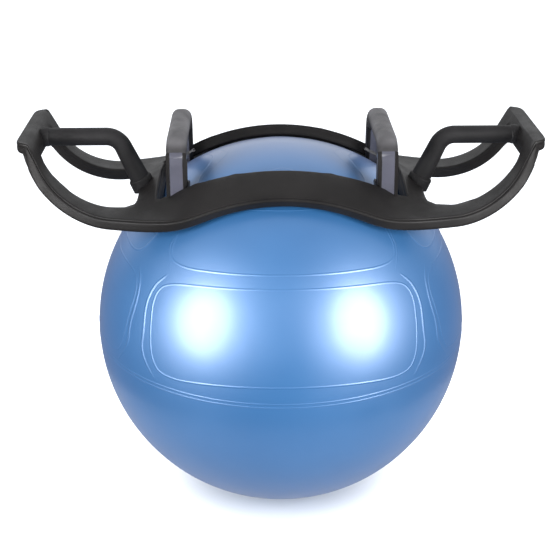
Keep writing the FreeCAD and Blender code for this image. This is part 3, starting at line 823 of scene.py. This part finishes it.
def rounded_rectangle(width, depth, radius):
    steps = 6
    points = []
    for cu, cv, start in ((1, 1, 0), (-1, 1, 90), (-1, -1, 180), (1, -1, 270)):
        for i in range(steps + 1):
            angle = math.radians(start + 90.0 * i / steps)
            points.append((cu * (width / 2 - radius) + radius * math.cos(angle),
                           cv * (depth / 2 - radius) + radius * math.sin(angle)))
    return points


def sweep(line, along, section_at, sideways):
    """Skin over sections carried along a line; each lies in the sideways axis and its cross."""
    rings = []
    for i, point in enumerate(line):
        across = along[i].cross(sideways).normalized()
        rings.append([point + sideways * u + across * v for u, v in section_at(i)])
    return tube(rings)


ARCH_AXIS_TOP = ARCH_TOP - ARCH_DEPTH / 2
ARCH_RING = top_height(ARCH_X, ARCH_HALF)


def arch_axis_y(z):
    return ARCH_HALF - ARCH_DEPTH / 2 - (z - ARCH_RING) * LEAN


def leg_section(recess):
    """Four-sided leg with chamfered corners; each flat is let in between two edge lines."""
    half_w = ARCH_WIDTH / 2
    half_d = ARCH_DEPTH / 2
    points = []
    for turn in range(4):
        across, along = (half_w, half_d) if turn % 2 == 0 else (half_d, half_w)
        flat = along - LEG_CHAMFER
        side = [(across, -flat), (across, -flat + LEG_LIP),
                (across - recess, -flat + LEG_LIP + LEG_RAMP),
                (across - recess, flat - LEG_LIP - LEG_RAMP),
                (across, flat - LEG_LIP), (across, flat)]
        for u, v in side:
            for _ in range(turn):
                u, v = -v, u
            points.append((u, v))
    return points


LEG_SIDE_POINTS = 6             # points of the leg's section along each of its four sides


def paint_panels(leg):
    """The four let-in flats of a leg are a touch lighter than its edges."""
    for face in leg.data.polygons:
        if len(face.vertices) != 4:
            continue
        places = sorted(v % LEG_SIDE_POINTS for v in face.vertices)
        if places == [2, 2, 3, 3]:
            face.material_index = 1


def make_grip(label, path, along):
    """The rounded cover over the top of an upright handle."""
    def section(k):
        from_end = min(k, len(path) - 1 - k)
        shrink = GRIP_END_SHRINK[min(from_end, 2)]
        share = min(1.0, from_end / ARCH_ROUND_ROWS)
        radius = ARCH_ROUND_LOW + (ARCH_ROUND - ARCH_ROUND_LOW) * share
        return rounded_rectangle(ARCH_WIDTH - 2 * shrink, ARCH_DEPTH - 2 * shrink, radius)

    skin = sweep(path, along, section, Vector((1, 0, 0)))
    grip = make_object("arch_grip_shape_" + label, *skin, "ring", "grip_rubber",
                       MATERIALS["arch_rubber_painted_light"], ["arch_grip_" + label])
    facing_out(grip)
    sharpen(grip, 50.0)


def make_leg(label, end_label, path, along):
    """One leg of an upright handle, from the ring up to the grip."""
    def section(k):
        below_top = len(path) - 1 - k
        started = below_top < len(LEG_RECESS_START)
        return leg_section(LEG_RECESS_START[below_top] if started else LEG_RECESS)

    skin = sweep(path, along, section, Vector((1, 0, 0)))
    leg = make_object("arch_leg_shape_%s_%s" % (end_label, label), *skin, "ring",
                      "leg_plastic", MATERIALS["ring_plastic"],
                      ["arch_leg_%s_%s" % (end_label, label)])
    leg.data.materials.append(MATERIALS["leg_plastic"])
    facing_out(leg)
    paint_panels(leg)
    sharpen(leg, 40.0)


def make_arch(label, side):
    """Legs and grip follow one bent path; the grip takes over part-way round each bend."""
    x = side * ARCH_X
    bottom = ARCH_RING - RING_DEPTH
    corners = [Vector((x, -arch_axis_y(bottom), bottom)),
               Vector((x, -arch_axis_y(ARCH_AXIS_TOP), ARCH_AXIS_TOP)),
               Vector((x, arch_axis_y(ARCH_AXIS_TOP), ARCH_AXIS_TOP)),
               Vector((x, arch_axis_y(bottom), bottom))]
    path = bent_path(corners, ARCH_BEND)
    along = directions(path)

    def picked(indices):
        return [path[i] for i in indices], [along[i] for i in indices]

    upper = [i for i, point in enumerate(path) if point.z >= LEG_TOP - GRIP_OVERLAP]
    make_grip(label, *picked(upper))
    for end_label, end in ENDS:
        lower = [i for i, point in enumerate(path)
                 if point.z < LEG_TOP + LEG_OVERLAP and point.y * end > 0]
        make_leg(label, end_label, *picked(lower[::-1] if end > 0 else lower))


def turned(profile, start, axis):
    """Skin turned about an axis from (distance along it, radius) pairs."""
    sideways = Vector((0, 1, 0))
    across = axis.cross(sideways).normalized()
    count = 48
    rings = []
    for along, radius in profile:
        ring = []
        for j in range(count):
            angle = 2 * math.pi * j / count
            spoke = sideways * math.cos(angle) + across * math.sin(angle)
            ring.append(start + axis * along + spoke * radius)
        rings.append(ring)
    return tube(rings)


TOUCH_STEP = 0.1


def bar_touch():
    """Where the sloping leg's centre line meets the hub."""
    x = BAR_CORNER_X
    z = BAR_Z
    while z > top_height(x, 0):
        x -= TOUCH_STEP * math.cos(BAR_SLOPE)
        z -= TOUCH_STEP * math.sin(BAR_SLOPE)
    return x, z


def make_side_grip(label, side, touch_x, touch_z):
    """Level bar from the end bar inwards, with its sloping leg down to the hub, and a flange."""
    bar_end = CREST_X - (CREST - BAR_Z) / math.tan(SLOPE)
    corners = [Vector((side * (bar_end + BAR_LET_IN), 0, BAR_Z)),
               Vector((side * BAR_CORNER_X, 0, BAR_Z)),
               Vector((side * (touch_x - BAR_LET_IN * math.cos(BAR_SLOPE)), 0,
                       touch_z - BAR_LET_IN * math.sin(BAR_SLOPE)))]
    line = bent_path(corners, BAR_BEND)
    leg_start = BAR_Z - BAR_BEND * (1 - math.cos(BAR_SLOPE))
    count = 40

    def section(i):
        down = min(1.0, max(0.0, (leg_start - line[i].z) / (leg_start - touch_z)))
        radius = BAR_RADIUS + (FLARE - BAR_RADIUS) * down
        return [(radius * math.cos(2 * math.pi * j / count),
                 radius * math.sin(2 * math.pi * j / count)) for j in range(count)]

    bar = sweep(line, directions(line), section, Vector((0, 1, 0)))
    profile = ((-2.6, BAR_RADIUS - 0.4), (-2.2, BAR_RADIUS + 0.5), (-1.2, BAR_RADIUS + 1.0),
               (2.0, BAR_RADIUS + FLANGE), (5.0, BAR_RADIUS + FLANGE), (9.0, BAR_RADIUS))
    root = Vector((side * (bar_end - BAR_RADIUS / math.tan(SLOPE) + 1.0), 0, BAR_Z))
    flange = turned(profile, root, Vector((side, 0, 0)))
    grip = make_object("side_grip_shape_" + label, *joined([bar, flange]), "ring", "grip_rubber",
                       MATERIALS["grip_rubber"], ["side_grip_" + label])
    facing_out(grip)
    sharpen(grip, 50.0)


def make_side_collar(label, side, touch_x, touch_z):
    """Raised lip where the sloping leg meets the hub."""
    slope = Vector((-side * math.cos(BAR_SLOPE), 0, -math.sin(BAR_SLOPE)))
    touch = Vector((side * touch_x, 0, touch_z))
    top = -COLLAR_LENGTH
    profile = ((top + 0.2, FLARE - 0.8), (top, FLARE + 0.3), (top + 0.4, COLLAR - 1.2),
               (top + 1.4, COLLAR - 0.3), (top + 2.8, COLLAR), (-2.0, COLLAR),
               (0.0, COLLAR + 0.2), (7.0, COLLAR + 0.2))
    collar = make_object("side_collar_shape_" + label, *turned(profile, touch, slope), "ring",
                         "grip_rubber", MATERIALS["grip_rubber"], ["side_collar_" + label])
    facing_out(collar)
    sharpen(collar, 50.0)


def make_side_handle(label, side):
    touch_x, touch_z = bar_touch()
    make_side_grip(label, side, touch_x, touch_z)
    make_side_collar(label, side, touch_x, touch_z)


for side_label, side_sign in SIDES:
    make_arch(side_label, side_sign)
    make_side_handle(side_label, side_sign)


# ---------------------------------------------------------------- carried-over pieces

HIDDEN_STEEL = ("arch_plate", "arch_core", "side_core")     # blackened, as their edges show


def slot_of(node):
    """The material slot that the record gives a node."""
    for entry in frame["record"]["subparts"]:
        if entry["node"] == node:
            return entry["material_slot"]
    return "steel"


for node, obj in frame["nodes"].items():
    if obj.hide_render:
        continue
    slot = slot_of(node)
    obj.data.materials.clear()
    dark = node.startswith(HIDDEN_STEEL)
    obj.data.materials.append(MATERIALS["dark_steel" if dark else slot])


# ---------------------------------------------------------------- stage, light and camera

FLOOR_RADIUS = 30.0
FLOOR_DROP = 0.0005
MIRRORED_FLOOR = 0.50           # radius of the pale floor that the ball mirrors
MIRRORED_DROP = 0.002
SHADOW_INNER = 0.08             # the floor glows from here outwards, and fully from the next; within, its own bluish grey is a painted shadow
SHADOW_OUTER = 0.24
BOX_ENERGY = 80.0
TOP_ENERGY = 7.0


def floor_material():
    """White floor that the camera sees; its glow fades out near the ball, so there its bluish-grey
    colour shows as a painted shadow on top of the ball's own shadow.
    """
    made = material("floor", (0.48, 0.52, 0.58), (0.52, 0.56, 0.62), (0.9, 1.0),
                    0.6, 60.0, 0.0, Specular_IOR_Level=0.0,
                    Emission_Color=(1.0, 1.0, 1.0, 1.0))
    tree = made.node_tree
    away = tree.nodes.new("ShaderNodeVectorMath")
    away.operation = "LENGTH"
    tree.links.new(tree.nodes.new("ShaderNodeTexCoord").outputs["Object"], away.inputs[0])
    # Painted shadow: no glow near the ball, full glow from SHADOW_OUTER out.
    glow = tree.nodes.new("ShaderNodeMapRange")
    glow.interpolation_type = "SMOOTHSTEP"
    glow.inputs["From Min"].default_value = SHADOW_INNER
    glow.inputs["From Max"].default_value = SHADOW_OUTER
    glow.inputs["To Min"].default_value = 0.0
    glow.inputs["To Max"].default_value = 1.0
    tree.links.new(away.outputs["Value"], glow.inputs["Value"])
    strength = tree.nodes["Principled BSDF"].inputs["Emission Strength"]
    tree.links.new(glow.outputs["Result"], strength)
    return made


def disc(name, radius, height, finish):
    """A level round sheet that belongs to the stage."""
    count = 128
    rim = [(radius * math.cos(2 * math.pi * i / count),
            radius * math.sin(2 * math.pi * i / count), 0.0) for i in range(count)]
    mesh = bpy.data.meshes.new(name)
    mesh.from_pydata(rim, [], [tuple(range(count))])
    mesh.materials.append(finish)
    obj = bpy.data.objects.new(name, mesh)
    obj.location.z = height
    bpy.context.scene.collection.objects.link(obj)
    return obj


def make_floors():
    """The camera sees one floor; the ball is lit by, and mirrors, a smaller and darker one."""
    floor = disc("floor", FLOOR_RADIUS, -FLOOR_DROP, floor_material())
    floor.visible_diffuse = False
    floor.visible_glossy = False
    floor.visible_shadow = False
    finish = material("mirrored_floor", (0.34, 0.36, 0.39), (0.40, 0.42, 0.45), (0.7, 0.8),
                      3.0, 60.0, 0.02)
    mirrored = disc("mirrored_floor", MIRRORED_FLOOR, -MIRRORED_DROP, finish)
    mirrored.visible_camera = False


def area_light(name, direction, distance, width, height, power):
    """Soft box facing the ball."""
    data = bpy.data.lights.new(name, "AREA")
    data.shape = "ELLIPSE"
    data.size = width
    data.size_y = height
    data.energy = power
    light = bpy.data.objects.new(name, data)
    toward = Vector(direction).normalized()
    light.location = CENTRE + toward * distance
    light.rotation_mode = "QUATERNION"
    light.rotation_quaternion = toward.to_track_quat("Z", "Y")
    bpy.context.scene.collection.objects.link(light)


def world_ramp(tree, value, low, high, to_low, to_high, soft=False):
    """A value carried from one range to another."""
    node = tree.nodes.new("ShaderNodeMapRange")
    if soft:
        node.interpolation_type = "SMOOTHSTEP"
    node.inputs["From Min"].default_value = low
    node.inputs["From Max"].default_value = high
    node.inputs["To Min"].default_value = to_low
    node.inputs["To Max"].default_value = to_high
    tree.links.new(value, node.inputs["Value"])
    return node.outputs["Result"]


def world_math(tree, operation, first, second):
    node = tree.nodes.new("ShaderNodeMath")
    node.operation = operation
    tree.links.new(first, node.inputs[0])
    tree.links.new(second, node.inputs[1])
    return node.outputs["Value"]


def make_world():
    """Studio that brightens upwards, with a bright wall behind the object."""
    world = bpy.data.worlds.new("studio")
    bpy.context.scene.world = world
    world.use_nodes = True
    tree = world.node_tree
    background = tree.nodes["Background"]
    split = tree.nodes.new("ShaderNodeSeparateXYZ")
    coords = tree.nodes.new("ShaderNodeTexCoord").outputs["Generated"]
    tree.links.new(coords, split.inputs["Vector"])
    sky = world_ramp(tree, split.outputs["Z"], -0.1, 0.7, 0.16, 0.50)
    behind = world_ramp(tree, split.outputs["Y"], 0.45, 0.85, 0.0, 0.9, soft=True)
    above_floor = world_ramp(tree, split.outputs["Z"], -0.04, 0.02, 0.0, 1.0)
    wall = world_math(tree, "MULTIPLY", behind, above_floor)
    tree.links.new(world_math(tree, "ADD", sky, wall), background.inputs["Strength"])
    background.inputs["Color"].default_value = (0.97, 0.98, 1.0, 1.0)


CAMERA_FROM_CENTRE = Vector((-0.1376, -6.0884, 2.8398))     # in ball radii
CAMERA_PITCH = 0.4056           # radians below level
CAMERA_TURN = -0.0219
CAMERA_LENS = 77.54


def make_camera():
    data = bpy.data.cameras.new("camera")
    camera = bpy.data.objects.new("camera", data)
    bpy.context.scene.collection.objects.link(camera)
    bpy.context.scene.camera = camera
    camera.location = CENTRE + CAMERA_FROM_CENTRE * (BALL * MM)
    camera.rotation_euler = (math.pi / 2 - CAMERA_PITCH, 0.0, CAMERA_TURN)
    data.sensor_width = 36.0
    data.lens = CAMERA_LENS
    data.clip_end = 2 * FLOOR_RADIUS


make_floors()
area_light("left_box", (-0.715, -0.645, 0.27), 2.2, 1.35, 1.50, BOX_ENERGY)
area_light("right_box", (0.70, -0.660, 0.25), 2.2, 1.35, 1.50, BOX_ENERGY)
area_light("top_box", (0.0, 0.2, 1.0), 2.4, 2.6, 1.4, TOP_ENERGY)
make_world()
make_camera()
bpy.context.scene.view_settings.view_transform = "Standard"
